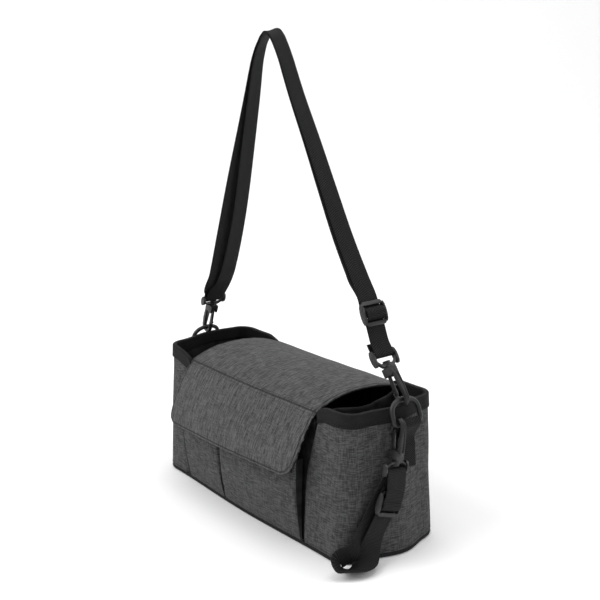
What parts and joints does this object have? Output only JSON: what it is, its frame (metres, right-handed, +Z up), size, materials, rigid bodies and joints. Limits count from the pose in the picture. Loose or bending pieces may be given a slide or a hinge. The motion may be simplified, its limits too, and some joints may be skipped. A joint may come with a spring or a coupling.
{
  "type": "stroller bag",
  "caption": "Soft oblong bag with a flap, pleated front pocket, open end pockets, clip-on shoulder strap and hanging loop straps for a pushchair's handlebar.",
  "frame": {"origin": "middle of the base, on the floor", "axes": "+Z up, the long side along X, the front with the flap and pocket faces -Y"},
  "size_m": [0.3992, 0.1851, 0.5314],
  "materials": {
    "black_lining": "smooth cloth",
    "black_plastic": "satin moulded",
    "black_webbing": "ribbed webbing",
    "melange": "woven cloth",
    "melange_flap": "woven cloth",
    "piping": "cord covered in cloth"
  },
  "bodies": {
    "bag": {"back_wall": "melange", "base_panel": "melange", "base_piping": "piping", "d_ring_left": "black_plastic", "d_ring_right": "black_plastic", "divider_left": "black_lining", "divider_right": "black_lining", "end_panel_left": "melange", "end_panel_right": "melange", "flap_fastener": "black_webbing", "flap_front": "melange_flap", "flap_lining": "black_lining", "flap_top": "melange_flap", "front_pocket_binding": "black_webbing", "front_pocket_panel": "melange", "front_wall": "melange", "main_lining": "black_lining", "pocket_fastener": "black_webbing", "pocket_lining_left": "black_lining", "pocket_lining_right": "black_lining", "rim_binding_left": "black_webbing", "rim_binding_right": "black_webbing", "ring_tab_left": "black_webbing", "ring_tab_right": "black_webbing", "shoulder_slider": "black_plastic", "shoulder_strap": "black_webbing", "strap_frame_left": "black_plastic", "strap_frame_right": "black_plastic"},
    "strap_hook_left": {"strap_hook_left": "black_plastic"},
    "strap_gate_left": {"strap_gate_left": "black_plastic"},
    "stroller_hook_left": {"stroller_hook_left": "black_plastic"},
    "stroller_gate_left": {"stroller_gate_left": "black_plastic"},
    "stroller_loop_left": {"stroller_frame_left": "black_plastic", "stroller_slider_left": "black_plastic", "stroller_strap_left": "black_webbing"},
    "strap_hook_right": {"strap_hook_right": "black_plastic"},
    "strap_gate_right": {"strap_gate_right": "black_plastic"},
    "stroller_hook_right": {"stroller_hook_right": "black_plastic"},
    "stroller_gate_right": {"stroller_gate_right": "black_plastic"},
    "stroller_loop_right": {"stroller_frame_right": "black_plastic", "stroller_slider_right": "black_plastic", "stroller_strap_right": "black_webbing"}
  },
  "joints": [
    {"name": "strap_swivel_left", "type": "hinge", "parent": "bag", "child": "strap_hook_left", "pos_m": [-0.16519, 0.004, 0.20286], "axis": [0.3907, 0, 0.9205], "range_deg": [-20, 20]},
    {"name": "strap_gate_open_left", "type": "hinge", "parent": "strap_hook_left", "child": "strap_gate_left", "pos_m": [-0.1651, 0.004, 0.19103], "axis": [0, 1, 0], "range_deg": [0, 18], "stiffness_Nm_per_rad": 0.004, "springref_deg": -5.73},
    {"name": "stroller_swing_left", "type": "hinge", "parent": "bag", "child": "stroller_hook_left", "pos_m": [-0.18837, 0.004, 0.145], "axis": [0, 1, 0], "range_deg": [0, 60]},
    {"name": "stroller_swivel_left", "type": "hinge", "parent": "stroller_hook_left", "child": "stroller_loop_left", "pos_m": [-0.19037, 0.02206, 0.10727], "axis": [0.0523, -0.1392, 0.9889], "range_deg": [0, 6]},
    {"name": "stroller_gate_open_left", "type": "hinge", "parent": "stroller_hook_left", "child": "stroller_gate_left", "pos_m": [-0.1851, 0.02058, 0.11776], "axis": [0, -0.9902, -0.1394], "range_deg": [0, 18], "stiffness_Nm_per_rad": 0.004, "springref_deg": -5.73},
    {"name": "strap_swivel_right", "type": "hinge", "parent": "bag", "child": "strap_hook_right", "pos_m": [0.15713, 0.004, 0.19821], "axis": [-0.6018, 0, 0.7986], "range_deg": [-20, 20]},
    {"name": "strap_gate_open_right", "type": "hinge", "parent": "strap_hook_right", "child": "strap_gate_right", "pos_m": [0.15991, 0.004, 0.18671], "axis": [0, -1, 0], "range_deg": [0, 18], "stiffness_Nm_per_rad": 0.004, "springref_deg": -5.73},
    {"name": "stroller_swing_right", "type": "hinge", "parent": "bag", "child": "stroller_hook_right", "pos_m": [0.18837, 0.004, 0.145], "axis": [0, -1, 0], "range_deg": [0, 60]},
    {"name": "stroller_swivel_right", "type": "hinge", "parent": "stroller_hook_right", "child": "stroller_loop_right", "pos_m": [0.19037, -0.01406, 0.10727], "axis": [-0.0523, 0.1392, 0.9889], "range_deg": [0, 6]},
    {"name": "stroller_gate_open_right", "type": "hinge", "parent": "stroller_hook_right", "child": "stroller_gate_right", "pos_m": [0.1851, -0.01258, 0.11776], "axis": [0, 0.9902, -0.1394], "range_deg": [0, 18], "stiffness_Nm_per_rad": 0.004, "springref_deg": -5.73}
  ]
}
